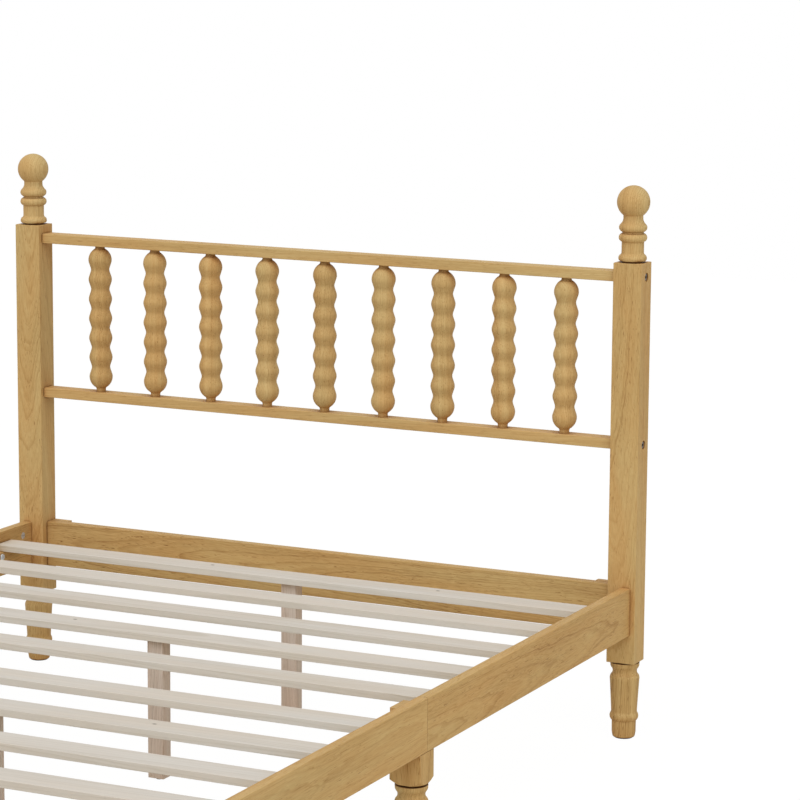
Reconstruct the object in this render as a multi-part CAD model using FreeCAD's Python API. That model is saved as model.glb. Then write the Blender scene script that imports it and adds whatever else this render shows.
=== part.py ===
import FreeCAD, Part
import os
from math import acos, atan2, cos, hypot, sin, sqrt

V = FreeCAD.Vector

# Spindle bed, millimetres. +X is to the right as seen from the foot end, +Y points to the headboard
# and +Z is up. The origin is on the floor under the middle of the bed.

# Overall frame
bed_width = 1457.0              # outer faces of the posts
rail_run = 1900.0               # between the facing faces of the head and foot posts
post_width = 60.0               # along X
post_depth = 54.0               # along Y
foot_height = 159.0             # floor to the underside of every post
head_post_length = 813.0
foot_post_length = 177.0
post_ease = 1.0                 # rounded arris of the posts
board_ease = 1.5                # rounded arris of rails, panels and cleats
slat_ease = 1.2

# Side rails, each in two halves that meet on the middle leg
rail_thickness = 20.0
rail_height = 98.0
rail_rise = 59.0                # lower edge above the posts' underside
rail_inset = 11.0               # outer face behind the posts' outer faces
rail_seam = 0.8                 # open joint between the two halves

# Headboard
spindle_count = 9
spindle_pitch = 136.2
spindle_row_shift = 12.0        # the whole row stands this far to +X of the middle
spindle_length = 317.5          # between the two spindle rails
top_rail_drop = 18.5            # below the posts' tops
spindle_rail_height = 20.5
spindle_rail_depth = 36.0
bead_count = 7
bead_radius = 25.0
waist_radius = 19.8
dome_round = 27.5               # end beads close over in an arc of this radius
dome_edge_radius = 12.5         # where that arc turns into the cove of the neck
neck_radius = 10.2
lower_neck_length = 5.8
upper_neck_length = 2.7
tenon_radius = 7.5
tenon_length = 12.0

# Low panels between the posts, with a cleat behind each end
panel_setback = 17.0            # from the posts' face towards the mattress
panel_thickness = 22.0
cleat_length = 42.0

# Slats, ledgers and centre legs
slat_width = 60.0
slat_thickness = 14.0
slat_drop = 23.5                # below the top of the side rails
slats_per_half = 5
first_slat_gap = 84.5           # from the head end of each half to its first slat
last_slat_gap = 75.9            # from its last slat to its other end
slat_end_gap = 2.0
ledger_height = 22.0
ledger_thickness = 20.0
ledger_overrun = 4.0            # past the outermost slat
ledger_block_gap = 2.0
legs_every = 3                  # slats 1, 4, 7 and 10 stand on a leg
leg_width = 34.0
leg_depth = 30.0
leg_shift = 10.0                # the centre legs stand this far to +X of the middle
leg_ease = 1.5

# Middle leg blocks
block_width = 60.0
block_depth = 56.0
block_rise = 5.5                # above the slats
block_boss_height = 1.5
block_shoulder_height = 8.5     # square body turned down to the round foot

# Nail-on glides, under the centre legs and under the turned feet
leg_glide_radius = 7.0
foot_glide_radius = 19.4
glide_bevel = 0.6
glide_pin_radius = 1.5
glide_pin_length = 12.0
leg_glide_height = 4.0
foot_glide_height = 1.5

# Turned feet and finials
turning_gap = 2.2               # dark gap between a foot's collar and the wood above
turning_spigot_radius = 20.0
collar_radius = 29.7
finial_gap = 3.5

# Fasteners
fit_gap = 0.1                   # radial room round pins, tenons and shanks
bolt_radius = 4.0
bolt_length = 85.0
bolt_head_radius = 6.5
bolt_head_height = 7.0
bolt_socket = 6.0               # across flats
bolt_socket_depth = 4.0
counterbore_radius = 9.0
counterbore_depth = 9.0
barrel_radius = 7.5
barrel_length = 16.0
barrel_sink = 0.4               # its slotted end, below the wood's face
barrel_slot = 1.8
barrel_setback = 34.0           # from the end of a side rail to its barrel nut
spindle_barrel_setback = 28.0   # the same in a spindle rail
rail_bolt_height = 73.0         # above the rail's lower edge
rail_dowel_height = 28.0
dowel_radius = 4.0
dowel_length = 24.0
slat_dowel_depth = 9.0
hanger_radius = 4.0
hanger_reach = 22.0             # into the wood on each side of the joint
screw_radius = 2.0
screw_length = 32.0
screw_head_radius = 7.0
screw_head_height = 2.6
screw_head_ease = 1.5
screw_socket = 4.0
screw_socket_depth = 1.3
screw_sink = 3.0                # cleat screws, below the wood's face
ledger_screws = 4
ledger_screw_margin = 69.0
block_screw_length = 51.0
block_screw_spread = 16.0       # each side of the seam
block_screw_margin = 22.0       # from the block's inner top and bottom

# Places that follow from the sizes above
head_post_top = foot_height + head_post_length
foot_post_top = foot_height + foot_post_length
rail_bottom = foot_height + rail_rise
top_rail_bottom = head_post_top - top_rail_drop - spindle_rail_height
lower_rail_bottom = top_rail_bottom - spindle_length - spindle_rail_height
slat_top = rail_bottom + rail_height - slat_drop
ledger_top = slat_top - slat_thickness
half_width = bed_width / 2
half_run = rail_run / 2
half_length = half_run + post_depth
post_x = half_width - post_width / 2
post_y = half_run + post_depth / 2
rail_outer = half_width - rail_inset
rail_inner = rail_outer - rail_thickness
rail_middle = rail_outer - rail_thickness / 2
spindle_y = half_length - bead_radius
spindle_bottom = lower_rail_bottom + spindle_rail_height
block_top = slat_top + block_rise
slat_count = 2 * slats_per_half
slat_pitch = (half_run - first_slat_gap - last_slat_gap - slat_width) / (slats_per_half - 1)
block_x = rail_outer - block_width / 2
panel_length = bed_width - 2 * post_width
ledger_middle = rail_inner - ledger_thickness / 2


def span(centre, size):
    return centre - size / 2, centre + size / 2


def ordered(a, b):
    return min(a, b), max(a, b)


def board(x, y, z, ease, along=""):
    # A sawn board from low to high on each axis. All its edges are eased, or only those along one axis.
    solid = Part.makeBox(x[1] - x[0], y[1] - y[0], z[1] - z[0], V(x[0], y[0], z[0]))
    axis = {"x": V(1, 0, 0), "y": V(0, 1, 0), "z": V(0, 0, 1)}.get(along)
    edges = [e for e in solid.Edges if axis is None or abs(e.tangentAt(0).dot(axis)) > 0.9]
    return solid.makeFillet(ease, edges)


def rod(start, direction, radius, length):
    return Part.makeCylinder(radius, length, start, direction)


def turned(start, *steps):
    # A lathe profile of (radius, height) points on the Z axis. A step is the next point, or a pair:
    # a point that an arc passes through, and the arc's end.
    edges, here = [], V(start[0], 0, start[1])
    for step in steps:
        bent = isinstance(step[0], tuple)
        end = V(step[-1][0], 0, step[-1][1]) if bent else V(step[0], 0, step[1])
        middle = V(step[0][0], 0, step[0][1]) if bent else None
        edges.append(Part.Arc(here, middle, end).toShape() if bent else Part.makeLine(here, end))
        here = end
    edges.append(Part.makeLine(here, V(start[0], 0, start[1])))
    return Part.Face(Part.Wire(edges)).revolve(V(0, 0, 0), V(0, 0, 1), 360)


def placed(solid, x, y, z):
    copy = solid.copy()
    copy.translate(V(x, y, z))
    return copy


# Turnings

def on_round(height, crest, rounding, angle):
    # The point of an arc that lies at the angle from its crest. A negative rounding is a hollow.
    return crest - rounding * (1 - cos(angle)), height + abs(rounding) * sin(angle)


def spindle():
    # A rod of equal beads between two domed ends, with a tenon at each end.
    swing = acos(1 - (bead_radius - dome_edge_radius) / dome_round)
    cove_round = (dome_edge_radius - neck_radius) / (1 - cos(swing))
    dome_height = (cove_round + dome_round) * sin(swing)
    top = spindle_length - upper_neck_length
    first, last = lower_neck_length + dome_height, top - dome_height
    pitch = (last - first) / (bead_count - 1)
    crest_round, waist_round = 0.47 * pitch, 0.33 * pitch
    both = crest_round + waist_round
    rise = bead_radius - waist_radius
    flank = sqrt((pitch / 2) ** 2 + rise ** 2 - 2 * rise * both)
    lean = atan2(rise - both, pitch / 2) + atan2(both, flank)

    def dome(height, angle):
        return on_round(height, bead_radius, dome_round, angle)

    def cove(height, angle):
        return on_round(height, neck_radius, -cove_round, angle)

    def crest(height, angle):
        return on_round(height, bead_radius, crest_round, angle)

    def waist(height, angle):
        return on_round(height, waist_radius, -waist_round, angle)

    steps = [(tenon_radius, -tenon_length), (tenon_radius, 0), (neck_radius, 0)]
    steps.append((neck_radius, lower_neck_length))
    steps.append((cove(lower_neck_length, swing / 2), dome(first, -swing)))
    steps.append((dome(first, -swing / 2), dome(first, 0)))
    for bead in range(bead_count - 1):
        low = first + bead * pitch
        middle, high = low + pitch / 2, low + pitch
        steps.append((crest(low, lean / 2), crest(low, lean)))
        steps.append(waist(middle, -lean))
        steps.append((waist(middle, 0), waist(middle, lean)))
        steps.append(crest(high, -lean))
        steps.append((crest(high, -lean / 2), crest(high, 0)))
    steps.append((dome(last, swing / 2), dome(last, swing)))
    steps.append((cove(top, -swing / 2), (neck_radius, top)))
    steps += [(neck_radius, spindle_length), (tenon_radius, spindle_length)]
    steps += [(tenon_radius, spindle_length + tenon_length), (0, spindle_length + tenon_length)]
    return turned((0, -tenon_length), *steps)


def finial():
    # Ball over two beads, a plain barrel and a base bead that stands just clear of the post.
    ball_radius, ball_height, ball_cut = 33.0, 119.8, 93.4
    ball_edge = sqrt(ball_radius ** 2 - (ball_height - ball_cut) ** 2)
    barrel = 22.3
    return turned(
        (0, 0), (turning_spigot_radius, 0), (turning_spigot_radius, finial_gap), (26.7, finial_gap),
        ((28.3, 9.2), (25.0, 15.0)),
        ((23.3, 16.6), (barrel, 19.2)),
        (barrel, 41.0),
        ((28.3, 49.6), (21.6, 58.0)),
        (21.6, 60.8),
        ((28.1, 69.0), (25.2, 76.0)),
        ((21.3, 81.4), (ball_edge, 86.6)),
        (ball_edge, ball_cut),
        ((ball_radius, ball_height), (0, ball_height + ball_radius)))


def turned_foot():
    # Tapered foot with a ring near the floor and a collar under the post. The taper takes up the height.
    top, sole = foot_height, foot_glide_height
    return turned(
        (0, sole), (19.8, sole),
        ((21.95, sole + 0.95), (22.9, sole + 3.1)),
        (24.3, sole + 10.5), (24.7, sole + 35.4),
        (26.6, sole + 36.4),
        ((29.2, sole + 44.1), (27.0, sole + 50.9)),
        ((26.4, sole + 52.9), (26.2, sole + 55.5)),
        (29.8, top - 38.0),
        ((30.0, top - 33.0), (28.2, top - 27.6)),
        ((24.6, top - 19.6), (27.9, top - 12.0)),
        (29.3, top - 8.6),
        (collar_radius, top - turning_gap),
        (turning_spigot_radius, top - turning_gap),
        (turning_spigot_radius, top), (0, top))


# Fasteners: each gives the solid and the hole that it needs, from a seat point and a direction

def hexagon(seat, direction, across, depth):
    side = across / sqrt(3)
    corner = V(0, 0, 1) if abs(direction.z) < 0.5 else V(1, 0, 0)
    turn = FreeCAD.Rotation(direction, 60)
    points = [corner * side]
    for _ in range(6):
        points.append(turn.multVec(points[-1]))
    return Part.Face(Part.makePolygon([seat + p for p in points])).extrude(direction * depth)


def frame_bolt(seat, direction):
    head = rod(seat, -direction, bolt_head_radius, bolt_head_height)
    shank = rod(seat, direction, bolt_radius, bolt_length)
    socket = hexagon(seat - direction * bolt_head_height, direction, bolt_socket, bolt_socket_depth)
    hole = rod(seat, direction, bolt_radius + fit_gap, bolt_length)
    sink = rod(seat, -direction, counterbore_radius, counterbore_depth)
    return head.fuse(shank).removeSplitter().cut(socket), hole.fuse(sink)


def barrel_nut(centre, direction, mouth, cover):
    # A cross dowel at right angles to the bolt. Its slotted end shows at the mouth of its hole, in the
    # face that lies the cover away from the bolt's axis.
    start = centre + mouth * (cover - barrel_sink - barrel_length)
    body = rod(start, mouth, barrel_radius, barrel_length)
    across = direction.cross(mouth) * (barrel_slot / 2)
    reach = direction * barrel_radius
    middle = start + mouth * (barrel_length - barrel_slot)
    corners = [middle + reach * a + across * b for a, b in ((-1, -1), (-1, 1), (1, 1), (1, -1), (-1, -1))]
    slot = Part.Face(Part.makePolygon(corners)).extrude(mouth * barrel_slot)
    bore = rod(centre - reach * 2, direction, bolt_radius + fit_gap, barrel_radius * 4)
    hole = rod(start, mouth, barrel_radius + fit_gap, barrel_length + 2 * barrel_sink)
    return body.cut([bore, slot]), hole


def dowel(centre, direction):
    start = centre - direction * (dowel_length / 2)
    return (rod(start, direction, dowel_radius, dowel_length),
            rod(start, direction, dowel_radius + fit_gap, dowel_length))


def hanger_bolt(centre):
    start = centre - V(0, 0, hanger_reach)
    return (rod(start, V(0, 0, 1), hanger_radius, 2 * hanger_reach),
            rod(start, V(0, 0, 1), hanger_radius + fit_gap, 2 * hanger_reach))


def wood_screw(seat, direction, length):
    head = rod(seat, -direction, screw_head_radius, screw_head_height)
    crown = seat - direction * screw_head_height
    rim = [e for e in head.Edges if e.CenterOfMass.isEqual(crown, fit_gap)]
    head = head.makeFillet(screw_head_ease, rim)
    shank = rod(seat, direction, screw_radius, length)
    socket = hexagon(crown, direction, screw_socket, screw_socket_depth)
    hole = rod(seat, direction, screw_radius + fit_gap, length)
    sink = rod(seat, -direction, screw_head_radius + fit_gap, screw_head_height + screw_sink)
    return head.fuse(shank).removeSplitter().cut(socket), hole.fuse(sink)


def quarters(low, size, *counts):
    return [low + size * count / 4 for count in counts]


def slat_back(i):
    # Both halves of the bed have the same row of slats.
    half, place = divmod(i, slats_per_half)
    return (1 - half) * half_run - first_slat_gap - place * slat_pitch


def slat_middle(i):
    return slat_back(i) - slat_width / 2


def ledger_span(end):
    # From past the outermost slat of this half to the middle block.
    outermost = slat_back(0) if end > 0 else slat_back(slat_count - 1) - slat_width
    return ordered(outermost + end * ledger_overrun, end * (block_depth / 2 + ledger_block_gap))


def place_frame_bolts():
    # Through the posts' outer faces into the spindle rails, and along the bed into the side rails.
    made = []
    for side in (-1, 1):
        inward = V(-side, 0, 0)
        for bottom in (lower_rail_bottom, top_rail_bottom):
            seat = V(side * (half_width - counterbore_depth), spindle_y, bottom + spindle_rail_height / 2)
            nut = V(side * (half_width - post_width - spindle_barrel_setback), spindle_y, seat.z)
            pair = frame_bolt(seat, inward), barrel_nut(nut, inward, V(0, 0, -1), spindle_rail_height / 2)
            made.append(pair)
        for end in (-1, 1):
            height = rail_bottom + rail_bolt_height
            seat = V(side * rail_middle, end * (half_length - counterbore_depth), height)
            nut = V(side * rail_middle, end * (half_run - barrel_setback), height)
            along = V(0, -end, 0)
            made.append((frame_bolt(seat, along), barrel_nut(nut, along, inward, rail_thickness / 2)))
    return made


def place_dowels():
    # Beside each rail bolt, between cleats and posts, and up into the slats.
    made = []
    cleat_middle = half_length - (post_depth - panel_setback - panel_thickness) / 2
    slat_pin = ledger_top + slat_dowel_depth - dowel_length / 2
    for side in (-1, 1):
        for end in (-1, 1):
            rail_end = V(side * rail_middle, end * half_run, rail_bottom + rail_dowel_height)
            made.append(dowel(rail_end, V(0, 1, 0)))
            for height in quarters(rail_bottom, rail_height, 1, 3):
                cleat_end = V(side * (half_width - post_width), end * cleat_middle, height)
                made.append(dowel(cleat_end, V(1, 0, 0)))
        for i in range(slat_count):
            made.append(dowel(V(side * ledger_middle, slat_middle(i), slat_pin), V(0, 0, 1)))
    for i in range(0, slat_count, legs_every):
        for x in quarters(leg_shift - leg_width / 2, leg_width, 1, 3):
            made.append(dowel(V(x, slat_middle(i), slat_pin), V(0, 0, 1)))
    return made


def glide(x, y, radius, height):
    # A flat pad on the floor, with the pin that is driven up into the wood.
    pad = Part.makeCone(radius - glide_bevel, radius, height, V(x, y, 0), V(0, 0, 1))
    seat = V(x, y, height)
    pin = rod(seat, V(0, 0, 1), glide_pin_radius, glide_pin_length)
    return pad.fuse(pin).removeSplitter(), rod(seat, V(0, 0, 1), glide_pin_radius + fit_gap, glide_pin_length)


def place_glides():
    made = [glide(x, y, foot_glide_radius, foot_glide_height) for x, y in foot_places().values()]
    under_legs = [slat_middle(i) for i in range(0, slat_count, legs_every)]
    return made + [glide(leg_shift, y, leg_glide_radius, leg_glide_height) for y in under_legs]


def foot_places():
    places = {}
    for side, hand in ((-1, "left"), (1, "right")):
        places["head_turned_foot_" + hand] = (side * post_x, post_y)
        places["middle_turned_foot_" + hand] = (side * block_x, 0)
        places["end_turned_foot_" + hand] = (side * post_x, -post_y)
    return places


def place_hanger_bolts():
    made = [hanger_bolt(V(x, y, foot_height)) for x, y in foot_places().values()]
    return made + [hanger_bolt(V(side * post_x, post_y, head_post_top)) for side in (-1, 1)]


def place_wood_screws():
    # Ledgers to side rails, and panels to their cleats from behind.
    made = []
    for side in (-1, 1):
        for end in (-1, 1):
            low, high = ledger_span(end)
            step = (high - low - 2 * ledger_screw_margin) / (ledger_screws - 1)
            for i in range(ledger_screws):
                y = low + ledger_screw_margin + i * step
                seat = V(side * (rail_inner - ledger_thickness), y, ledger_top - ledger_height / 2)
                made.append(wood_screw(seat, V(side, 0, 0), screw_length))
            x = side * (half_width - post_width - cleat_length / 2)
            for height in quarters(rail_bottom, rail_height, 1.5, 2.5):
                seat = V(x, end * (half_length - screw_sink), height)
                made.append(wood_screw(seat, V(0, -end, 0), screw_length))
    return made


def place_block_screws():
    made = []
    for side in (-1, 1):
        for shift in (-block_screw_spread, block_screw_spread):
            for height in (rail_bottom + block_screw_margin, block_top - block_screw_margin):
                seat = V(side * (rail_outer - block_width), shift, height)
                made.append(wood_screw(seat, V(side, 0, 0), block_screw_length))
    return made


# Wooden pieces

def head_post(side):
    heights = foot_height, head_post_top
    return board(span(side * post_x, post_width), span(post_y, post_depth), heights, post_ease)


def foot_post(side):
    heights = foot_height, foot_post_top
    return board(span(side * post_x, post_width), span(-post_y, post_depth), heights, post_ease)


def spindle_places():
    first = spindle_row_shift - spindle_pitch * (spindle_count - 1) / 2
    return [first + i * spindle_pitch for i in range(spindle_count)]


def spindle_rail(bottom):
    return board(span(0, panel_length), span(spindle_y, spindle_rail_depth),
                 (bottom, bottom + spindle_rail_height), board_ease)


def tenon_holes():
    # Blind holes up into the top rail and down into the lower rail.
    holes = []
    for x in spindle_places():
        holes.append(rod(V(x, spindle_y, spindle_bottom), V(0, 0, -1), tenon_radius + fit_gap, tenon_length))
        holes.append(rod(V(x, spindle_y, top_rail_bottom), V(0, 0, 1), tenon_radius + fit_gap, tenon_length))
    return holes


def panel(end):
    y = ordered(end * (half_run + panel_setback), end * (half_run + panel_setback + panel_thickness))
    return board(span(0, panel_length), y, (rail_bottom, rail_bottom + rail_height), board_ease)


def cleat(side, end):
    x = ordered(side * (half_width - post_width), side * (half_width - post_width - cleat_length))
    y = ordered(end * (half_run + panel_setback + panel_thickness), end * half_length)
    return board(x, y, (rail_bottom, rail_bottom + rail_height), board_ease / 2, "z")


def side_rail(side, end):
    x = ordered(side * rail_inner, side * rail_outer)
    y = ordered(end * rail_seam / 2, end * half_run)
    return board(x, y, (rail_bottom, rail_bottom + rail_height), board_ease, "y")


def middle_block(side):
    # Square block, turned down to the foot, with a notch outside that carries both halves of the rail.
    heights = foot_height, block_top
    body = board(span(side * block_x, block_width), span(0, block_depth), heights, board_ease, "z")
    reach = hypot(block_width, block_depth) / 2
    neck = foot_height + block_boss_height
    lathe = turned(
        (0, foot_height), (turning_spigot_radius, foot_height), (turning_spigot_radius, neck),
        (collar_radius, neck), (reach, neck + block_shoulder_height), (reach, block_top), (0, block_top))
    x = ordered(side * rail_inner, side * (rail_outer + board_ease))
    corner = V(x[0], -block_depth / 2, rail_bottom)
    notch = Part.makeBox(x[1] - x[0], block_depth, block_top - rail_bottom, corner)
    return body.common(placed(lathe, side * block_x, 0, 0)).cut(notch)


def ledger(side, end):
    x = ordered(side * rail_inner, side * (rail_inner - ledger_thickness))
    return board(x, ledger_span(end), (ledger_top - ledger_height, ledger_top), slat_ease, "y")


def slat(i):
    return board(span(0, 2 * (rail_inner - slat_end_gap)), (slat_back(i) - slat_width, slat_back(i)),
                 (ledger_top, slat_top), slat_ease)


def centre_leg(i):
    heights = leg_glide_height, ledger_top
    return board(span(leg_shift, leg_width), span(slat_middle(i), leg_depth), heights, leg_ease, "z")


def wooden_pieces():
    made = {}
    rod_of_beads = spindle()
    for side, hand in ((-1, "left"), (1, "right")):
        made["head_post_" + hand] = head_post(side)
        made["foot_post_" + hand] = foot_post(side)
        made["finial_" + hand] = placed(finial(), side * post_x, post_y, head_post_top)
        made["middle_block_" + hand] = middle_block(side)
        for end, place in ((1, "head"), (-1, "foot")):
            made["side_rail_%s_%s" % (place, hand)] = side_rail(side, end)
            made["ledger_%s_%s" % (place, hand)] = ledger(side, end)
            made["%s_cleat_%s" % (place, hand)] = cleat(side, end)
    for name, (x, y) in foot_places().items():
        made[name] = placed(turned_foot(), x, y, 0)
    made["lower_spindle_rail"] = spindle_rail(lower_rail_bottom)
    made["top_spindle_rail"] = spindle_rail(top_rail_bottom)
    for i, x in enumerate(spindle_places()):
        made["spindle_%d" % (i + 1)] = placed(rod_of_beads, x, spindle_y, spindle_bottom)
    made["head_panel"] = panel(1)
    made["foot_panel"] = panel(-1)
    for i in range(slat_count):
        made["slat_%02d" % (i + 1)] = slat(i)
    for i in range(0, slat_count, legs_every):
        made["centre_leg_%d" % (i // legs_every + 1)] = centre_leg(i)
    return made


def drilled(piece, holes):
    # Only the holes that reach this piece are cut.
    near = [hole for hole in holes if hole.BoundBox.intersect(piece.BoundBox)]
    return piece.cut(near) if near else piece


def assembly():
    joints = place_frame_bolts()
    fastened = {
        "frame_bolts": [bolt for bolt, _ in joints],
        "barrel_nuts": [nut for _, nut in joints],
        "dowel_pins": place_dowels(),
        "hanger_bolts": place_hanger_bolts(),
        "wood_screws": place_wood_screws(),
        "block_screws": place_block_screws(),
        "floor_glides": place_glides(),
    }
    holes = [hole for pairs in fastened.values() for _, hole in pairs] + tenon_holes()
    made = {}
    for name, piece in wooden_pieces().items():
        tenoned = name.startswith("spindle_")
        made[name] = piece if tenoned else drilled(piece, holes)
    for name, pairs in fastened.items():
        made[name] = Part.makeCompound([solid for solid, _ in pairs])
    return made


os.makedirs("parts", exist_ok=True)
pieces = assembly()
for name, shape in pieces.items():
    shape.exportStep("parts/%s.step" % name)
whole = Part.makeCompound(list(pieces.values())).BoundBox
print("pieces", len(pieces), "solids", sum(len(shape.Solids) for shape in pieces.values()))
print("size", round(whole.XLength, 2), round(whole.YLength, 2), round(whole.ZLength, 2))
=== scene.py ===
import math

import bpy
import numpy as np
from mathutils import Matrix, Vector


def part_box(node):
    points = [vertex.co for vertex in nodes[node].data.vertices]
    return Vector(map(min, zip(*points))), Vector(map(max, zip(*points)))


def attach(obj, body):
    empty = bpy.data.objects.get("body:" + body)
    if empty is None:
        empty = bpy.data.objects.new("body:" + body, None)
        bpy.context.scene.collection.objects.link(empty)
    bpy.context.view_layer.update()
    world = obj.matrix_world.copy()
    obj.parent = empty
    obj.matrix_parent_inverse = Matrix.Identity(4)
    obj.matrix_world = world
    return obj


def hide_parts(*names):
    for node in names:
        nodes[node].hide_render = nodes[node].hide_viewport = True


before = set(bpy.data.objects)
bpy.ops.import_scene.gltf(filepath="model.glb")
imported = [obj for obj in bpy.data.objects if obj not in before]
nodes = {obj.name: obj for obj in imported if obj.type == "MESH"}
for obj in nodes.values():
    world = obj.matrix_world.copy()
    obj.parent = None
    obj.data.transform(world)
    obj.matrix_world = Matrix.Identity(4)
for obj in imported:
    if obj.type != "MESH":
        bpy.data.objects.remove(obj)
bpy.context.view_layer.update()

mm = 0.001
print("frame loaded:", len(nodes), "pieces")


# Camera: a long lens a little to the right of the bed, at about eye height.

cameraView = {
    "place": (2979.9, -4805.3, 1736.8),    # mm
    "turnedLeft": 25.77,                   # degrees from straight up the bed
    "pitchedDown": 9.572,
    "rolled": 0.387,
    "sensor": 36.0,
    "lens": 141.55,
    "nearest": 0.1,                        # metres
    "farthest": 200.0,
}


def makeCamera(view):
    # Right and up vectors square to the line of sight, turned a little about it.
    turn, pitch, roll = (math.radians(view[key]) for key in ("turnedLeft", "pitchedDown", "rolled"))
    ahead = Vector((-math.sin(turn) * math.cos(pitch), math.cos(turn) * math.cos(pitch), -math.sin(pitch)))
    right = ahead.cross(Vector((0, 0, 1))).normalized()
    up = right.cross(ahead)
    rolledRight = right * math.cos(roll) + up * math.sin(roll)
    rolledUp = up * math.cos(roll) - right * math.sin(roll)
    data = bpy.data.cameras.new("camera")
    data.sensor_width = view["sensor"]
    data.lens = view["lens"]
    data.clip_start, data.clip_end = view["nearest"], view["farthest"]
    camera = bpy.data.objects.new("camera", data)
    bpy.context.scene.collection.objects.link(camera)
    camera.matrix_world = Matrix.Translation(Vector(view["place"]) * mm) @ Matrix(
        (rolledRight, rolledUp, -ahead)).transposed().to_4x4()
    bpy.context.scene.camera = camera


makeCamera(cameraView)
print("camera set")


# Nodes and colours

def linear(hexColour):
    # sRGB hex to linear: the lower part is a straight line, the rest a power of 2.4.
    values = np.array([int(hexColour[i:i + 2], 16) for i in (1, 3, 5)]) / 255
    curved = np.where(values <= 0.04045, values / 12.92, ((values + 0.055) / 1.055) ** 2.4)
    return (*[float(value) for value in curved], 1.0)


def addNode(tree, kind, settings={}, inputs={}, stops=()):
    # A node with its settings, its values or links, and its ramp's stops.
    node = tree.nodes.new("ShaderNode" + kind)
    for name, value in settings.items():
        setattr(node, name, value)
    for name, value in inputs.items():
        if isinstance(value, bpy.types.NodeSocket):
            tree.links.new(value, node.inputs[name])
        else:
            node.inputs[name].default_value = value
    for place, (position, colour) in enumerate(stops):
        elements = node.color_ramp.elements
        stop = elements[place] if place < 2 else elements.new(position)
        stop.position = position
        stop.color = linear(colour)
    return node


def newMaterial(name):
    material = bpy.data.materials.new(name)
    material.use_nodes = True
    material.node_tree.nodes.clear()
    return material, material.node_tree


# Studio: a white surround that shows as pure white, a soft key light high in front of the bed and a soft
# panel beside its right rail.

studio = {
    "surround": 0.53,           # strength of the light from all round
    "surroundColour": "#FFFDF9",
    "floorColour": "#DCD7CA",
    "floorSize": 16.0,          # metres
    "floorWhite": 0.96,         # share of plain white that the camera sees on the floor
    "floorGlow": 1.02,          # strength of that plain white
    "key": {
        "colour": "#FAFEFF",
        "power": 2.0,
        "softness": 70,         # degrees that the lamp spans in the sky
        "from": (0.149, -0.575, 0.804),
    },
    "panel": {
        "colour": "#FFF9E6",
        "power": 3.2,
        "width": 1.7,           # metres
        "height": 1.1,
        "place": (2.35, 0.1, 0.75),
        "from": (1.0, -0.12, 0.16),
    },
}


def seenWhite(tree):
    # 1 on rays that come straight from the camera, a mirror-like surface or through glass.
    path = addNode(tree, "LightPath")
    mirrored = addNode(tree, "Math", {"operation": "MAXIMUM"},
                       {0: path.outputs["Is Camera Ray"], 1: path.outputs["Is Glossy Ray"]})
    return addNode(tree, "Math", {"operation": "MAXIMUM"},
                   {0: mirrored.outputs[0], 1: path.outputs["Is Transmission Ray"]}).outputs[0]


def makeSurround(look):
    world = bpy.data.worlds.new("whiteSurround")
    bpy.context.scene.world = world
    world.use_nodes = True
    tree = world.node_tree
    tree.nodes.clear()
    white = seenWhite(tree)
    strength = addNode(tree, "Mix", {"data_type": "FLOAT"}, {"Factor": white, 2: look["surround"], 3: 1.0})
    tint = addNode(tree, "Mix", {"data_type": "RGBA"},
                   {0: white, 6: linear(look["surroundColour"]), 7: (1, 1, 1, 1)})
    light = addNode(tree, "Background", {}, {"Color": tint.outputs[2], "Strength": strength.outputs[0]})
    addNode(tree, "OutputWorld", {}, {"Surface": light.outputs[0]})


def makeLamp(name, kind, look):
    data = bpy.data.lights.new(name, kind)
    data.energy = look["power"]
    data.color = linear(look["colour"])[:3]
    if kind == "SUN":
        data.angle = math.radians(look["softness"])
    else:
        data.shape = "RECTANGLE"
        data.size, data.size_y = look["width"], look["height"]
    lamp = bpy.data.objects.new(name, data)
    bpy.context.scene.collection.objects.link(lamp)
    lamp.location = look.get("place", (0, 0, 0))
    lamp.rotation_mode = "QUATERNION"
    lamp.rotation_quaternion = Vector(look["from"]).to_track_quat("Z", "Y")
    lamp.visible_camera = False


def makeFloor(look):
    # A white studio floor. Most of what the camera sees of it is plain white, and the rest keeps the shadow.
    half = look["floorSize"] / 2
    mesh = bpy.data.meshes.new("floor")
    corners = [(-half, -half, 0), (half, -half, 0), (half, half, 0), (-half, half, 0)]
    mesh.from_pydata(corners, [], [(0, 1, 2, 3)])
    floor = bpy.data.objects.new("floor", mesh)
    bpy.context.scene.collection.objects.link(floor)
    material, tree = newMaterial("whiteStudioFloor")
    matt = addNode(tree, "BsdfDiffuse", {}, {"Color": linear(look["floorColour"])})
    white = addNode(tree, "Emission", {}, {"Color": (1, 1, 1, 1), "Strength": look["floorGlow"]})
    share = addNode(tree, "Math", {"operation": "MULTIPLY"}, {0: seenWhite(tree), 1: look["floorWhite"]})
    both = addNode(tree, "MixShader", {}, {0: share.outputs[0], 1: matt.outputs[0], 2: white.outputs[0]})
    addNode(tree, "OutputMaterial", {}, {"Surface": both.outputs[0]})
    mesh.materials.append(material)


makeSurround(studio)
makeLamp("keyLight", "SUN", studio["key"])
makeLamp("sidePanel", "AREA", studio["panel"])
makeFloor(studio)
bpy.context.scene.view_settings.view_transform = "Standard"
print("studio lit")


# Turned pieces: finials, feet and beaded spindles, each a profile of lines and arcs carried round a circle.

turning = {
    "roundSteps": 96,
    "arcStep": 0.7,            # mm between the points of an arc
    "fewestSteps": 4,          # on a short arc
    "sharpAngle": 35,          # degrees at which an edge stays crisp
    "boreRadius": 4.1,
    "boreDepth": 22.0,
    "spigotRadius": 20.0,
}


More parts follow.
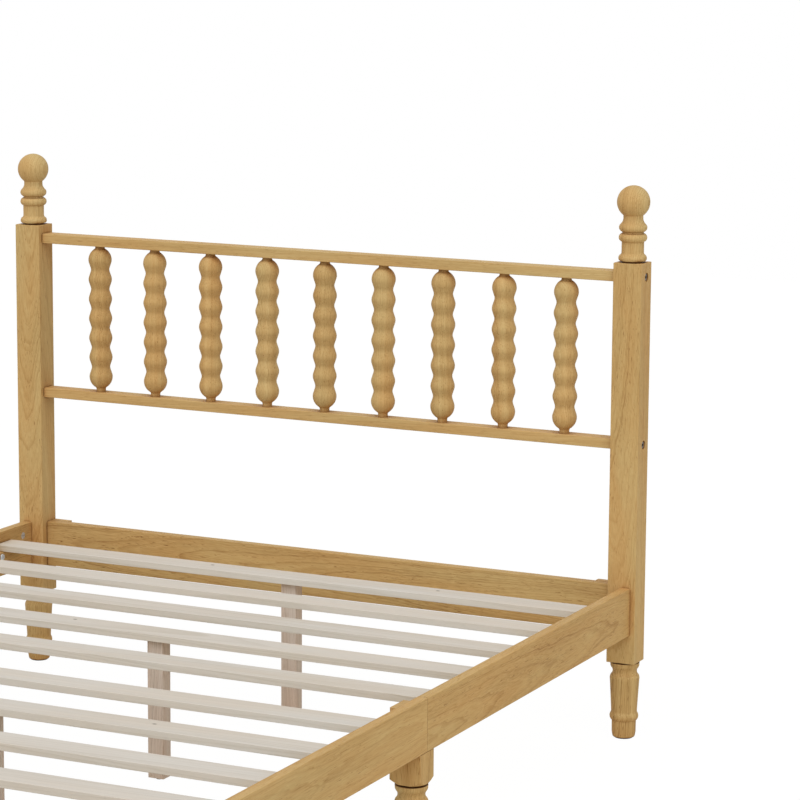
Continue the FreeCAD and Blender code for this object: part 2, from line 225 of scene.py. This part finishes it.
def arcPoints(start, middle, end):
    # The circle through three points: its centre is as far from each, and the angle runs from start to end.
    start, middle, end = (np.array(point, float) for point in (start, middle, end))
    sides = np.array([middle - start, end - start])
    centre = np.linalg.solve(2 * sides, (middle @ middle - start @ start, end @ end - start @ start))
    radius = np.linalg.norm(start - centre)
    first, through, last = (math.atan2(*(point - centre)[::-1]) for point in (start, middle, end))
    whole = (last - first) % (2 * math.pi)
    if (through - first) % (2 * math.pi) > whole:
        whole -= 2 * math.pi
    count = max(turning["fewestSteps"], math.ceil(abs(whole) * radius / turning["arcStep"]))
    angles = first + whole * np.arange(1, count + 1) / count
    return centre + radius * np.column_stack((np.cos(angles), np.sin(angles)))


def profilePoints(start, steps):
    # A step is the next (radius, height) point, or a pair: a point that an arc passes through, and its end.
    points = [np.array([start], float)]
    for step in steps:
        if isinstance(step[0], tuple):
            points.append(arcPoints(points[-1][-1], step[0], step[1]))
        else:
            points.append(np.array([step], float))
    return np.vstack(points)


def turnedMesh(name, profile, centre, base):
    # Each profile point (r, h) goes round the centre: x = cx + r cos a, y = cy + r sin a, z = base + h.
    # The first and last points lie on the axis and each is one vertex, with a fan of triangles.
    around = turning["roundSteps"]
    angles = 2 * np.pi * np.arange(around) / around
    rings = profile[1:-1]
    x = centre[0] + rings[:, :1] * np.cos(angles)
    y = centre[1] + rings[:, :1] * np.sin(angles)
    z = np.broadcast_to(base + rings[:, 1:], x.shape)
    ends = np.array([(*centre, base + profile[0, 1]), (*centre, base + profile[-1, 1])])
    places = np.vstack((np.column_stack((x.ravel(), y.ravel(), z.ravel())), ends)) * mm
    row, column = np.meshgrid(np.arange(len(rings) - 1), np.arange(around), indexing="ij")
    beside = (column + 1) % around
    quads = np.stack((row, row, row + 1, row + 1), -1) * around
    quads = quads + np.stack((column, beside, beside, column), -1)
    low, high = len(places) - 2, len(places) - 1
    spoke = np.arange(around)
    nextSpoke = (spoke + 1) % around
    topRing = (len(rings) - 1) * around
    fans = np.vstack((np.column_stack((nextSpoke, spoke, np.full(around, low))),
                      np.column_stack((topRing + spoke, topRing + nextSpoke, np.full(around, high)))))
    corners = np.concatenate((quads.reshape(-1), fans.reshape(-1)))
    sizes = np.concatenate((np.full(quads.size // 4, 4), np.full(len(fans), 3)))
    mesh = bpy.data.meshes.new(name)
    mesh.vertices.add(len(places))
    mesh.vertices.foreach_set("co", places.ravel())
    mesh.loops.add(len(corners))
    mesh.loops.foreach_set("vertex_index", corners)
    mesh.polygons.add(len(sizes))
    mesh.polygons.foreach_set("loop_start", np.concatenate(([0], np.cumsum(sizes)[:-1])))
    mesh.update(calc_edges=True)
    mesh.validate()
    mesh.shade_smooth()
    mesh.set_sharp_from_angle(angle=math.radians(turning["sharpAngle"]))
    return mesh


def turnedPiece(name, node, profile, centre, base):
    piece = bpy.data.objects.new(name, turnedMesh(name, profile, centre, base))
    bpy.context.scene.collection.objects.link(piece)
    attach(piece, "root")
    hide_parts(node)
    return piece


# Points are (radius, height) in mm. An arc is a point that it passes through and its end.
finialForm = {
    "gap": 3.5,                                # dark recess between the post and the base bead
    "baseEdge": 26.7,
    "baseBead": ((28.3, 9.2), (25.0, 15.0)),
    "baseCove": (23.3, 16.6),
    "barrel": 22.3,
    "barrelEnds": (19.2, 41.0),
    "lowerBead": ((28.3, 49.6), (21.6, 58.0)),
    "grooveTop": 60.8,
    "upperBead": ((28.1, 69.0), (25.2, 76.0)),
    "neckCove": (21.3, 81.4),
    "neckEnds": (86.6, 93.4),                  # a short straight neck, up to where the ball is cut off
    "ballRadius": 33.0,
    "ballHeight": 119.8,
    "tip": (0.2, 152.8),
}


def finialProfile(form):
    # Base bead, plain barrel, two beads and a ball, over a spigot with a bore for the bolt.
    # The neck's radius squared is the ball's radius squared less the square of its height above the cut.
    bore, depth, spigot = turning["boreRadius"], turning["boreDepth"], turning["spigotRadius"]
    (barrelLow, barrelHigh), (neckLow, cut) = form["barrelEnds"], form["neckEnds"]
    neck = math.sqrt(form["ballRadius"] ** 2 - (form["ballHeight"] - cut) ** 2)
    return profilePoints((0, depth), [
        (bore, depth), (bore, 0), (spigot, 0), (spigot, form["gap"]), (form["baseEdge"], form["gap"]),
        form["baseBead"],
        (form["baseCove"], (form["barrel"], barrelLow)),
        (form["barrel"], barrelHigh),
        form["lowerBead"],
        (form["lowerBead"][1][0], form["grooveTop"]),
        form["upperBead"],
        (form["neckCove"], (neck, neckLow)),
        (neck, cut),
        ((form["ballRadius"], form["ballHeight"]), form["tip"]),
        (0, form["tip"][1])])


# The toe and the ring are measured up from the sole, the hollow and the collar down from the top.
footForm = {
    "top": 159.0,
    "sole": 1.5,                               # a glide lifts the wood off the floor
    "soleEdge": 19.8,
    "toe": ((21.95, 0.95), (22.9, 3.1)),
    "shaft": ((24.3, 10.5), (24.7, 35.4), (26.6, 36.4)),
    "ring": ((29.2, 44.1), (27.0, 50.9)),
    "ringCove": ((26.4, 52.9), (26.2, 55.5)),
    "taperTop": ((29.8, 38.0),),
    "shoulder": ((30.0, 33.0), (28.2, 27.6)),
    "hollow": ((24.6, 19.6), (27.9, 12.0)),
    "lip": ((29.3, 8.6),),
    "collar": 29.7,
    "gap": 2.2,                                # dark recess under the post
}


def footProfile(form):
    # Rounded toe, ring, straight taper, hollow and collar, with a spigot up to the post.
    top, sole, shoulder = form["top"], form["sole"], form["top"] - form["gap"]
    bore, spigot, boreEnd = turning["boreRadius"], turning["spigotRadius"], top - turning["boreDepth"]

    def up(name):
        return tuple((radius, sole + height) for radius, height in form[name])

    def down(name):
        return tuple((radius, top - depth) for radius, depth in form[name])

    return profilePoints((0, sole), [
        (form["soleEdge"], sole), up("toe"), *up("shaft"), up("ring"), up("ringCove"),
        *down("taperTop"), down("shoulder"), down("hollow"), *down("lip"),
        (form["collar"], shoulder), (spigot, shoulder), (spigot, top),
        (bore, top), (bore, boreEnd), (0, boreEnd)])


spindleForm = {
    "length": 317.5,         # between the two rails
    "beads": 7,
    "beadRadius": 25.0,
    "waistRadius": 19.8,
    "domeRound": 27.5,
    "domeEdge": 12.5,
    "neck": 10.2,
    "lowerNeck": 5.8,
    "upperNeck": 2.7,
    "tenon": 7.5,
    "tenonLength": 12.0,
    "crestShare": 0.47,      # radii of the bead and the hollow, as shares of the bead spacing
    "waistShare": 0.33,
}


def spindleProfile(form):
    # Seven equal beads. A crest arc and a waist arc meet on a short straight that touches both, and each end
    # is a dome that turns through a cove into the neck.
    bead, waist, neck = form["beadRadius"], form["waistRadius"], form["neck"]
    length, tenon, tenonLength = form["length"], form["tenon"], form["tenonLength"]
    swing = math.acos(1 - (bead - form["domeEdge"]) / form["domeRound"])
    coveRound = (form["domeEdge"] - neck) / (1 - math.cos(swing))
    domeHeight = (coveRound + form["domeRound"]) * math.sin(swing)
    top = length - form["upperNeck"]
    first, last = form["lowerNeck"] + domeHeight, top - domeHeight
    pitch = (last - first) / (form["beads"] - 1)
    crestRound, waistRound = form["crestShare"] * pitch, form["waistShare"] * pitch
    both, rise = crestRound + waistRound, bead - waist
    flank = math.sqrt((pitch / 2) ** 2 + rise ** 2 - 2 * rise * both)
    lean = math.atan2(rise - both, pitch / 2) + math.atan2(both, flank)

    def onRound(height, radius, rounding, angle):
        return radius - rounding * (1 - math.cos(angle)), height + abs(rounding) * math.sin(angle)

    steps = [(tenon, -tenonLength), (tenon, 0), (neck, 0), (neck, form["lowerNeck"])]
    steps.append((onRound(form["lowerNeck"], neck, -coveRound, swing / 2),
                  onRound(first, bead, form["domeRound"], -swing)))
    steps.append((onRound(first, bead, form["domeRound"], -swing / 2), (bead, first)))
    for low in first + pitch * np.arange(form["beads"] - 1):
        steps.append((onRound(low, bead, crestRound, lean / 2), onRound(low, bead, crestRound, lean)))
        steps.append(onRound(low + pitch / 2, waist, -waistRound, -lean))
        steps.append(((waist, low + pitch / 2), onRound(low + pitch / 2, waist, -waistRound, lean)))
        steps.append(onRound(low + pitch, bead, crestRound, -lean))
        steps.append((onRound(low + pitch, bead, crestRound, -lean / 2), (bead, low + pitch)))
    steps.append((onRound(last, bead, form["domeRound"], swing / 2),
                  onRound(last, bead, form["domeRound"], swing)))
    steps.append((onRound(top, neck, -coveRound, -swing / 2), (neck, top)))
    steps += [(neck, length), (tenon, length), (tenon, length + tenonLength), (0, length + tenonLength)]
    return profilePoints((0, -tenonLength), steps)


def middleOf(node):
    # The centre in plan and the lowest height of a piece, in mm.
    low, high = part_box(node)
    return ((low.x + high.x) / 2 / mm, (low.y + high.y) / 2 / mm), low.z / mm


turnedPieces = {}
finialLine, footLine = finialProfile(finialForm), footProfile(footForm)
spindleLine = spindleProfile(spindleForm)
for node in nodes:
    centre, lowest = middleOf(node)
    if node.startswith("finial_"):
        turnedPieces[node] = turnedPiece("turned_" + node, node, finialLine, centre, lowest)
    elif node.endswith(("turned_foot_left", "turned_foot_right")):
        turnedPieces[node] = turnedPiece("shaped_" + node, node, footLine, centre, 0)
    elif node.startswith("spindle_"):
        turnedPieces[node] = turnedPiece("beaded_" + node, node, spindleLine, centre,
                                         lowest + spindleForm["tenonLength"])
print("turned pieces made:", len(turnedPieces))


# Wood. The rings are sleeves round a pith line that lies beside the board; the saw cuts them into
# streaks, and into arches where the pith line leans.

# Rift-sawn oak under a satin lacquer: a golden brown with fine darker ring lines, short pores that stay
# open, and slow drifts between a yellower and a redder tone.
oak = {
    "name": "oakSatinLacquer",
    "stops": ((0.0, "#D0B884"), (0.4, "#C0A26E"), (0.6, "#B39461"), (0.8, "#9A774C"), (1.0, "#6C4A2B")),
    "redder": "#FFF2E8",
    "sheltered": "#F7E6D8",                      # painted shade: a warmer, darker tint where the surroundings shelter the wood from light
    "corner": "#6A4122",                         # painted shade: dark contact shade in the inner corners and joints
    "ring": 3.6,                                 # mm from one ring to the next, a little coarser than real
    "uneven": 1.5,                               # rings by which a ring's place strays
    "strays": (((60, 260), 5.5), ((12, 42), 1.5)),    # mm across and along, and mm that the rings wander
    "lineShare": 0.12,
    "bandShare": 0.22,
    "fibre": (1.2, 65),
    "fibreShare": 0.32,
    "pore": (1.1, 22),
    "poreShare": 0.26,
    "cloud": (60, 400),
    "cloudShare": 0.22,
    "roughness": (0.48, 0.64),
    "gloss": 0.08,
    "relief": 0.08,                              # mm between a pore and the surface
}

# The lathe opens the oak's end grain, so the same lacquer shows its lines and fibres more plainly there.
turnedOak = dict(oak, name="turnedOakLacquer", lineShare=0.20, fibreShare=0.36, poreShare=0.30)

# Bare planed spruce slats: a cool pale beige with faint straight lines.
paleWood = {
    "name": "bareSpruce",
    "stops": ((0.0, "#D9D3CC"), (0.45, "#CEC8C1"), (0.75, "#C3BCB2"), (1.0, "#A4988A")),
    "redder": "#FDF8F2",
    # painted shade: a warmer, darker tint where the slats are sheltered from light
    "sheltered": "#EFE6D3",
    # painted shade: dark in the narrow corners and joints
    "corner": "#7D6A52",
    "ring": 7.0,
    "uneven": 1.6,
    "strays": (((90, 500), 9.0), ((16, 120), 0.9)),
    "lineShare": 0.16,
    "bandShare": 0.20,
    "fibre": (1.5, 110),
    "fibreShare": 0.18,
    "pore": (1.0, 8),
    "poreShare": 0.04,
    "cloud": (70, 520),
    "cloudShare": 0.22,
    "roughness": (0.62, 0.78),
    "gloss": 0.15,
    "relief": 0.05,
}

# Bare planed rubberwood legs: a pinkish grey brown with short streaks.
legWood = {
    "name": "bareRubberwood",
    "stops": ((0.0, "#D6C9C0"), (0.45, "#CABBB0"), (0.75, "#B8A698"), (1.0, "#948273")),
    "redder": "#FDF5F0",
    # painted shade: a warmer, darker tint where the legs are sheltered from light
    "sheltered": "#FDF8F2",
    # painted shade: dark in the narrow corners and joints
    "corner": "#5E4A3A",
    "ring": 4.0,
    "uneven": 1.5,
    "strays": (((50, 230), 6.0), ((12, 60), 1.2)),
    "lineShare": 0.24,
    "bandShare": 0.34,
    "fibre": (1.5, 40),
    "fibreShare": 0.34,
    "pore": (1.2, 9),
    "poreShare": 0.22,
    "cloud": (30, 200),
    "cloudShare": 0.3,
    "roughness": (0.6, 0.75),
    "gloss": 0.15,
    "relief": 0.08,
}

# Fluted beech dowels, bare.
beech = dict(legWood, name="bareBeech", stops=((0.0, "#DFC39A"), (0.45, "#D2B184"), (0.75, "#C09C6E"),
                                               (1.0, "#A07C50")))


# What all the woods share. A span is where a noise or a share of open sky starts and ends to count.
grain = {
    "lineSpan": (0.35, 0.86),        # share of a ring over which it darkens to its late line
    "faintestLine": 0.3,             # of the plainest
    "lineMean": 0.3,
    "openUntil": 0.55,               # share of a ring that has its pores open
    "closedPores": 0.25,             # how much of them is left after that
    "poreSpan": (0.60, 0.72),
    "poreMean": 0.1,
    "widthChange": 0.55,             # how soon the rings' width changes, per ring
    "bandChange": 0.3,               # the same for light and dark groups of rings
    "middleTone": 0.45,
    "redSpan": (0.35, 0.65),
    "fibreSpan": (0.3, 0.7),
    # reach and span of the painted shade tint
    "shadeReach": 130.0,             # mm
    "shadeSpan": (0.4, 0.95),
    # reach, span and strength of the painted corner shade
    "nookReach": 10.0,               # mm
    "nookSpan": (0.35, 0.75),
    "nookShare": 0.7,
}


def stretched(tree, vector, across, along):
    # The piece's own coordinates divided by a size across the grain and one along it.
    scale = (1 / (across * mm), 1 / (across * mm), 1 / (along * mm))
    return addNode(tree, "VectorMath", {"operation": "MULTIPLY"}, {0: vector, 1: scale}).outputs[0]


def woodMaterial(wood, piece, sawn, knots=()):
    # The pith line's place is in mm and its turn takes the Z axis to the grain.
    pith, turn, tone = sawn
    material, tree = newMaterial(wood["name"] + piece)
    place = addNode(tree, "TexCoord").outputs["Object"]
    own = addNode(tree, "Mapping", {"vector_type": "TEXTURE"},
                  {"Vector": place, "Location": [value * mm for value in pith], "Rotation": turn}).outputs[0]
    moved = own
    for size, stray in wood["strays"]:
        noise = addNode(tree, "TexNoise", {}, {
            "Vector": stretched(tree, own, *size), "Scale": 1.0, "Detail": 2.0, "Roughness": 0.45})
        centred = addNode(tree, "VectorMath", {"operation": "SUBTRACT"},
                          {0: noise.outputs["Color"], 1: (0.5, 0.5, 0.5)})
        moved = addNode(tree, "VectorMath", {"operation": "MULTIPLY_ADD"},
                        {0: centred.outputs[0], 1: (2 * stray * mm,) * 3, 2: moved}).outputs[0]
    flat = addNode(tree, "VectorMath", {"operation": "MULTIPLY"}, {0: moved, 1: (1, 1, 0)})
    reach = addNode(tree, "VectorMath", {"operation": "LENGTH"}, {0: flat.outputs[0]}).outputs["Value"]
    even = addNode(tree, "Math", {"operation": "DIVIDE"}, {0: reach, 1: wood["ring"] * mm}).outputs[0]
    shift = addNode(tree, "TexNoise", {"noise_dimensions": "1D"},
                    {"W": even, "Scale": grain["widthChange"], "Detail": 1.0})
    count = addNode(tree, "Math", {"operation": "MULTIPLY_ADD"},
                    {0: shift.outputs[0], 1: wood["uneven"], 2: even}).outputs[0]
    band = addNode(tree, "TexNoise", {"noise_dimensions": "1D"},
                   {"W": count, "Scale": grain["bandChange"], "Detail": 3.0, "Roughness": 0.6}).outputs[0]
    whole = addNode(tree, "Math", {"operation": "FLOOR"}, {0: count}).outputs[0]
    chance = addNode(tree, "TexWhiteNoise", {"noise_dimensions": "1D"}, {"W": whole}).outputs["Value"]
    phase = addNode(tree, "Math", {"operation": "FRACT"}, {0: count}).outputs[0]
    soft = {"interpolation_type": "SMOOTHSTEP"}
    lineStart, lineTop = grain["lineSpan"]
    rise = addNode(tree, "MapRange", soft,
                   {"Value": phase, "From Min": lineStart, "From Max": lineTop}).outputs[0]
    fall = addNode(tree, "MapRange", soft, {"Value": phase, "From Min": lineTop, "From Max": 1.0,
                                            "To Min": 1.0, "To Max": 0.0}).outputs[0]
    line = addNode(tree, "Math", {"operation": "MULTIPLY"}, {0: rise, 1: fall}).outputs[0]
    strength = addNode(tree, "MapRange", {}, {"Value": chance, "To Min": grain["faintestLine"]}).outputs[0]
    late = addNode(tree, "Math", {"operation": "MULTIPLY"}, {0: line, 1: strength}).outputs[0]
    early = addNode(tree, "MapRange", soft, {"Value": phase, "From Min": 0.0, "From Max": grain["openUntil"],
                                             "To Min": 1.0, "To Max": grain["closedPores"]}).outputs[0]
    fibre = addNode(tree, "TexNoise", {}, {"Vector": stretched(tree, moved, *wood["fibre"]),
                                           "Scale": 1.0, "Detail": 2.0}).outputs[0]
    speck = addNode(tree, "TexNoise", {}, {"Vector": stretched(tree, moved, *wood["pore"]),
                                           "Scale": 1.0, "Detail": 1.0}).outputs[0]
    openPore = addNode(tree, "MapRange", soft, {"Value": speck, "From Min": grain["poreSpan"][0],
                                                "From Max": grain["poreSpan"][1]}).outputs[0]
    pore = addNode(tree, "Math", {"operation": "MULTIPLY"}, {0: openPore, 1: early}).outputs[0]
    cloud = addNode(tree, "TexNoise", {}, {"Vector": stretched(tree, own, *wood["cloud"]),
                                           "Scale": 1.0, "Detail": 3.0})
    drift = addNode(tree, "SeparateColor", {}, {"Color": cloud.outputs["Color"]})
    # Each pattern adds twice its share, less what its mean adds, so that the board keeps its tone.
    start = grain["middleTone"] + tone - grain["lineMean"] * wood["lineShare"]
    total = addNode(tree, "Math", {"operation": "MULTIPLY_ADD"},
                    {0: late, 1: 2 * wood["lineShare"], 2: start}).outputs[0]
    for value, share, mean in ((band, wood["bandShare"], 0.5), (fibre, wood["fibreShare"], 0.5),
                               (drift.outputs["Red"], wood["cloudShare"], 0.5),
                               (pore, wood["poreShare"], grain["poreMean"])):
        term = addNode(tree, "Math", {"operation": "MULTIPLY_ADD"}, {0: value, 1: 2 * share, 2: total})
        total = addNode(tree, "Math", {"operation": "SUBTRACT"},
                        {0: term.outputs[0], 1: 2 * share * mean}).outputs[0]
    colour = addNode(tree, "ValToRGB", {}, {"Fac": total}, wood["stops"]).outputs["Color"]
    red = addNode(tree, "MapRange", {}, {"Value": drift.outputs["Green"], "From Min": grain["redSpan"][0],
                                         "From Max": grain["redSpan"][1]}).outputs[0]
    colour = addNode(tree, "Mix", {"data_type": "RGBA", "blend_type": "MULTIPLY"},
                     {0: red, 6: colour, 7: linear(wood["redder"])}).outputs[2]
    for x, y in knots:
        # An oval spot: the distance from the knot, in knot lengths and widths.
        fromKnot = addNode(tree, "VectorMath", {"operation": "SUBTRACT"}, {0: place, 1: (x * mm, y * mm, 0)})
        ovals = addNode(tree, "VectorMath", {"operation": "MULTIPLY"}, {
            0: fromKnot.outputs[0], 1: (1 / (pinKnots["length"] * mm), 1 / (pinKnots["width"] * mm), 0)})
        size = addNode(tree, "VectorMath", {"operation": "LENGTH"}, {0: ovals.outputs[0]}).outputs["Value"]
        spot = addNode(tree, "MapRange", soft, {
            "Value": size, "From Min": pinKnots["edge"][0], "From Max": pinKnots["edge"][1],
            "To Min": pinKnots["strength"], "To Max": 0.0}).outputs[0]
        colour = addNode(tree, "Mix", {"data_type": "RGBA"},
                         {0: spot, 6: colour, 7: linear(pinKnots["colour"])}).outputs[2]
    # Painted shade: where the surroundings shelter the wood it is tinted warmer and darker, and narrow
    # corners and joints are painted dark.
    shade = addNode(tree, "AmbientOcclusion", {"samples": 8}, {"Distance": grain["shadeReach"] * mm})
    dim = addNode(tree, "MapRange", {}, {
        "Value": shade.outputs["AO"], "From Min": grain["shadeSpan"][0], "From Max": grain["shadeSpan"][1],
        "To Min": 1.0, "To Max": 0.0}).outputs[0]
    colour = addNode(tree, "Mix", {"data_type": "RGBA", "blend_type": "MULTIPLY"},
                     {0: dim, 6: colour, 7: linear(wood["sheltered"])}).outputs[2]
    # Painted shade: dark colour mixed in where a 10 mm occlusion finds a narrow corner, joint or recess.
    nook = addNode(tree, "AmbientOcclusion", {"samples": 8}, {"Distance": grain["nookReach"] * mm})
    paintedCornerShade = addNode(tree, "MapRange", soft, {
        "Value": nook.outputs["AO"], "From Min": grain["nookSpan"][0], "From Max": grain["nookSpan"][1],
        "To Min": grain["nookShare"], "To Max": 0.0}).outputs[0]
    colour = addNode(tree, "Mix", {"data_type": "RGBA"},
                     {0: paintedCornerShade, 6: colour, 7: linear(wood["corner"])}).outputs[2]
    rough = addNode(tree, "MapRange", {}, {
        "Value": fibre, "From Min": grain["fibreSpan"][0], "From Max": grain["fibreSpan"][1],
        "To Min": wood["roughness"][0], "To Max": wood["roughness"][1]})
    dip = addNode(tree, "Math", {"operation": "MULTIPLY_ADD"}, {0: pore, 1: -1.0, 2: fibre})
    relief = addNode(tree, "Bump", {}, {
        "Height": dip.outputs[0], "Distance": wood["relief"] * mm, "Strength": 1.0})
    surface = addNode(tree, "BsdfPrincipled", {}, {
        "Base Color": colour, "Roughness": rough.outputs[0], "Specular IOR Level": wood["gloss"],
        "Normal": relief.outputs[0]})
    addNode(tree, "OutputMaterial", {}, {"Surface": surface.outputs[0]})
    return material


# Small grey knots in three of the slats, each by its x and y on the bed.
pinKnots = {
    "length": 8.0,           # mm along the slat
    "width": 5.5,
    "colour": "#6B6257",
    "edge": (0.25, 0.75),    # where the spot starts and ends to fade, in its own lengths
    "strength": 0.85,
    "slat_01": ((-183, 845.4), (340, 846)),
    "slat_04": ((-183, 297.7),),
    "slat_07": ((338, -290.5),),
}


grainTurns = {"x": (0, math.pi / 2, 0), "y": (-math.pi / 2, 0, 0), "z": (0, 0, 0)}
sawing = {
    "pithNear": 55.0,         # mm from the middle of the board to the pith line
    "pithFar": 150.0,
    "lean": 3.0,              # degrees between the board and the pith line
    "toneSpread": 0.05,
    "turnedBearing": 26.0,    # degrees: turned pieces show their straight streaks to the front right
    "turnedSpread": 30.0,
    "turnedFarther": 60.0,
    "seed": 11,
}
# Pieces whose grain is plain to see: a pith line's place in mm, its turn, and how much darker the piece is.
chosenSawing = {
    "head_post_left": ((-702, 1012, 560), (math.radians(5.0), math.radians(0.8), 0), 0.0),
    "head_post_right": ((668, 1040, 560), (math.radians(4.0), math.radians(-3.0), 0), -0.02),
    "side_rail_head_right": ((642, 480, 250), (-math.pi / 2 + math.radians(1.5), 0, math.radians(2.2)), 0.02),
    "head_panel": ((60, 1020, 262), (0, math.pi / 2 + math.radians(1.2), math.radians(-2.4)), 0.10),
}
# Pieces that came from a paler or a darker board: how much darker each is.
boardTone = {
    "finial_left": -0.15,
    "finial_right": -0.07,
    "head_turned_foot_right": 0.09,
    "lower_spindle_rail": -0.07,
    "spindle_5": 0.05,
    "top_spindle_rail": -0.07,
}


def camel(node):
    words = node.split("_")
    return "".join(word[:1].upper() + word[1:] for word in words)


def sawnFrom(node, draw):
    # The grain follows the longest side. The pith line lies beside the board, at a drawn distance and
    # bearing, and leans by a drawn angle.
    low, high = (np.array(corner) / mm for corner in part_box(node))
    along = "xyz"[int(np.argmax(high - low))]
    middle = (low + high) / 2
    bearing, distance = draw.uniform(0, 2 * math.pi), draw.uniform(sawing["pithNear"], sawing["pithFar"])
    if node in turnedPieces:
        spread = sawing["turnedSpread"]
        bearing = sawing["turnedBearing"] + draw.uniform(-spread, spread) + 180 * draw.integers(2)
        bearing = math.radians(bearing)
        distance += sawing["turnedFarther"]
    lean = np.radians(draw.uniform(-sawing["lean"], sawing["lean"], 2))
    tone = draw.uniform(-sawing["toneSpread"], sawing["toneSpread"]) + boardTone.get(node, 0)
    across = [place for place in range(3) if "xyz"[place] != along]
    middle[across[0]] += distance * math.cos(bearing)
    middle[across[1]] += distance * math.sin(bearing)
    turn = np.array(grainTurns[along], float)
    turn[[across[0], across[1]]] += lean
    return middle, turn, tone


def dress(piece, material):
    piece.data.materials.clear()
    piece.data.materials.append(material)


metalAndPlastic = ("frame_bolts", "hanger_bolts", "barrel_nuts", "wood_screws", "block_screws",
                   "floor_glides")
draw = np.random.default_rng(sawing["seed"])
for node in sorted(nodes):
    if node.startswith("slat_"):
        wood = paleWood
    elif node.startswith("centre_leg_"):
        wood = legWood
    elif node == "dowel_pins":
        wood = beech
    elif node in metalAndPlastic:
        continue
    elif node.startswith("finial_") or "turned_foot" in node:
        wood = turnedOak
    else:
        wood = oak
    sawn = chosenSawing.get(node) or sawnFrom(node, draw)
    dress(turnedPieces.get(node, nodes[node]), woodMaterial(wood, camel(node), sawn, pinKnots.get(node, ())))
print("wood laid on")


# Metal and plastic

zinc = {
    "name": "zincPlatedSteel",       # bright zinc over steel: bluish white, with a dull milky bloom
    "stops": ((0.0, "#9BA1A9"), (0.5, "#B9BEC5"), (1.0, "#D3D7DC")),
    "bloom": 2.5,                    # mm
    "bloomSpan": (0.3, 0.7),         # noise levels of the shiniest and the dullest spots
    "roughness": (0.28, 0.45),
    "metallic": 1.0,
}
dullZinc = dict(zinc, name="dullZincSteel",      # the frame bolts' plating has dulled to a warm dark grey
                stops=((0.0, "#55524F"), (0.5, "#7C7874"), (1.0, "#A29D98")))
brightZinc = dict(zinc, name="brightZincSteel",  # barrel nuts and screws, under a milky bluish white film
                  stops=((0.0, "#A9AFB6"), (0.5, "#C4C9CF"), (1.0, "#DDE1E6")), metallic=0.5)


def zincMaterial(look):
    material, tree = newMaterial(look["name"])
    place = addNode(tree, "TexCoord").outputs["Object"]
    bloom = addNode(tree, "TexNoise", {}, {"Vector": place, "Scale": 1 / (look["bloom"] * mm), "Detail": 3.0})
    colour = addNode(tree, "ValToRGB", {}, {"Fac": bloom.outputs[0]}, look["stops"])
    rough = addNode(tree, "MapRange", {}, {
        "Value": bloom.outputs[0], "From Min": look["bloomSpan"][0], "From Max": look["bloomSpan"][1],
        "To Min": look["roughness"][0], "To Max": look["roughness"][1]})
    surface = addNode(tree, "BsdfPrincipled", {}, {
        "Base Color": colour.outputs["Color"], "Metallic": look["metallic"], "Roughness": rough.outputs[0]})
    addNode(tree, "OutputMaterial", {}, {"Surface": surface.outputs[0]})
    return material


glidePlastic = {
    "name": "mouldedBlackPlastic",   # moulded polypropylene glide with a fine matt texture
    "stops": ((0.0, "#1C1C1D"), (1.0, "#2E2E30")),
    "grit": 0.8,                     # mm
    "relief": 0.04,
    "roughness": 0.6,
    "refraction": 1.49,
}


def plasticMaterial(look):
    material, tree = newMaterial(look["name"])
    place = addNode(tree, "TexCoord").outputs["Object"]
    grit = addNode(tree, "TexNoise", {}, {"Vector": place, "Scale": 1 / (look["grit"] * mm), "Detail": 2.0})
    colour = addNode(tree, "ValToRGB", {}, {"Fac": grit.outputs[0]}, look["stops"])
    relief = addNode(tree, "Bump", {}, {
        "Height": grit.outputs[0], "Distance": look["relief"] * mm, "Strength": 1.0})
    surface = addNode(tree, "BsdfPrincipled", {}, {
        "Base Color": colour.outputs["Color"], "Roughness": look["roughness"], "IOR": look["refraction"],
        "Normal": relief.outputs[0]})
    addNode(tree, "OutputMaterial", {}, {"Surface": surface.outputs[0]})
    return material


dress(nodes["frame_bolts"], zincMaterial(dullZinc))
dress(nodes["hanger_bolts"], zincMaterial(zinc))
bright = zincMaterial(brightZinc)
for node in ("barrel_nuts", "wood_screws", "block_screws"):
    dress(nodes[node], bright)
dress(nodes["floor_glides"], plasticMaterial(glidePlastic))
print("metal and plastic laid on")
